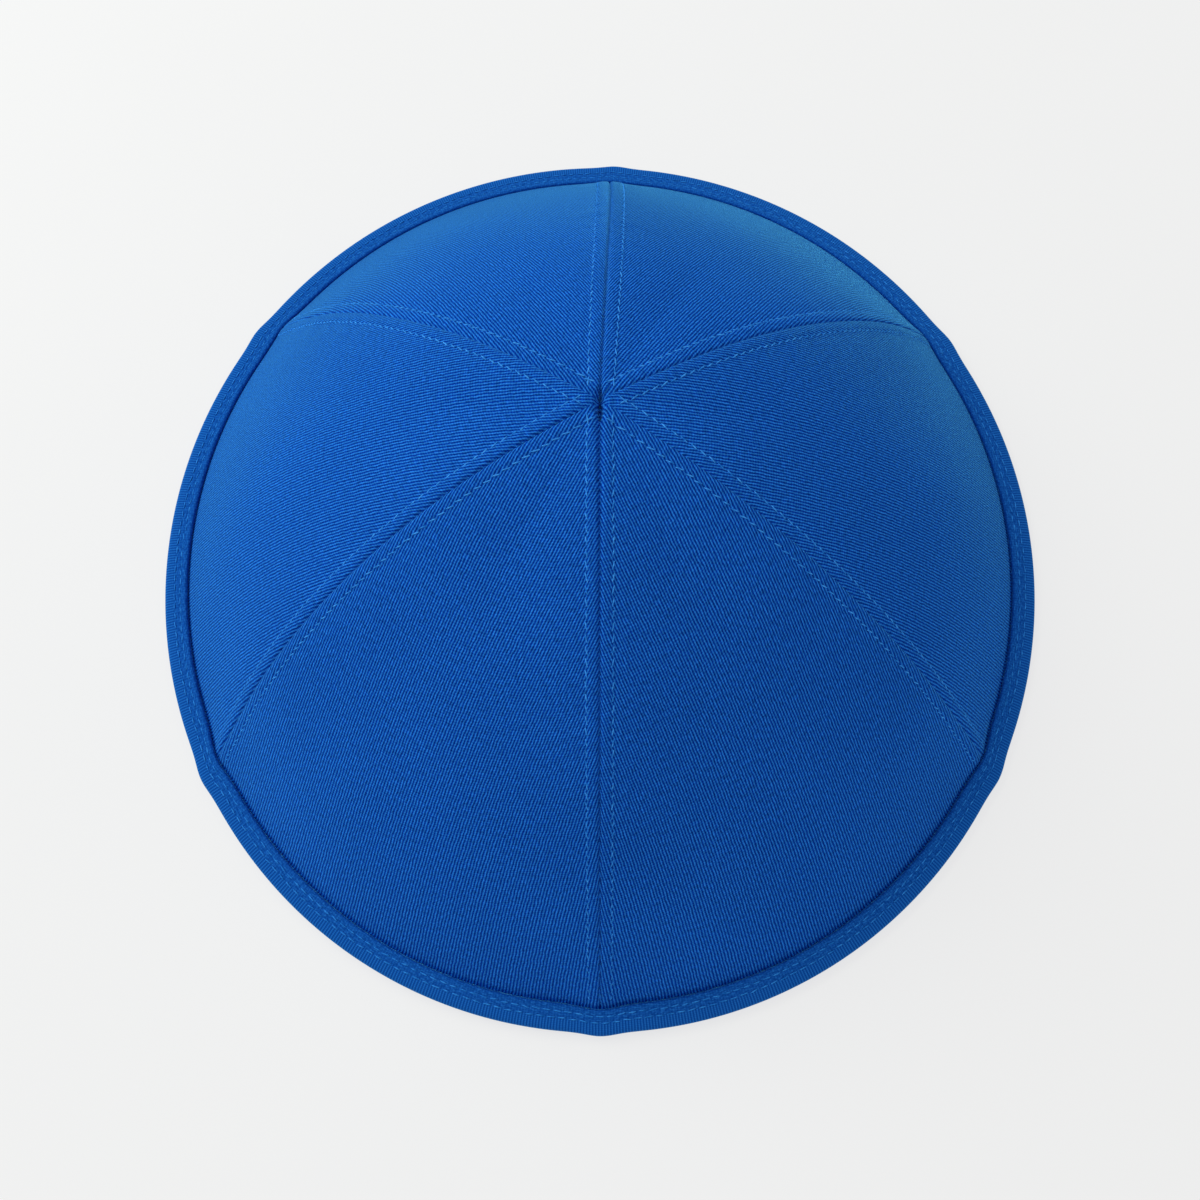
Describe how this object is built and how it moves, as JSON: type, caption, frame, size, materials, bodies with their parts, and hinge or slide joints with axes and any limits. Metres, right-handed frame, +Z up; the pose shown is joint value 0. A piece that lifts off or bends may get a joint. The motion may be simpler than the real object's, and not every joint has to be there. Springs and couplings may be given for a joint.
{
  "type": "panelled cloth skullcap",
  "caption": "Shallow round skullcap: a dome of sewn cotton twill panels with topstitched seams and a narrow tape-bound rim, worn on the crown of the head, resting on its rim.",
  "frame": {"origin": "middle of the rim, on the surface that the cap rests on", "axes": "+Z up through the crown's apex, +Y to the back of the cap, +X to the right of someone facing its front"},
  "size_m": [0.1782, 0.1892, 0.0554],
  "materials": {
    "twill_cloth": "matt royal blue cotton twill",
    "rim_tape": "matt royal blue woven tape"
  },
  "bodies": {
    "root": {"panel_right": "twill_cloth", "panel_back_right": "twill_cloth", "panel_back_left": "twill_cloth", "panel_left": "twill_cloth", "panel_front_left": "twill_cloth", "panel_front_right": "twill_cloth", "rim_binding": "rim_tape"}
  },
  "joints": []
}
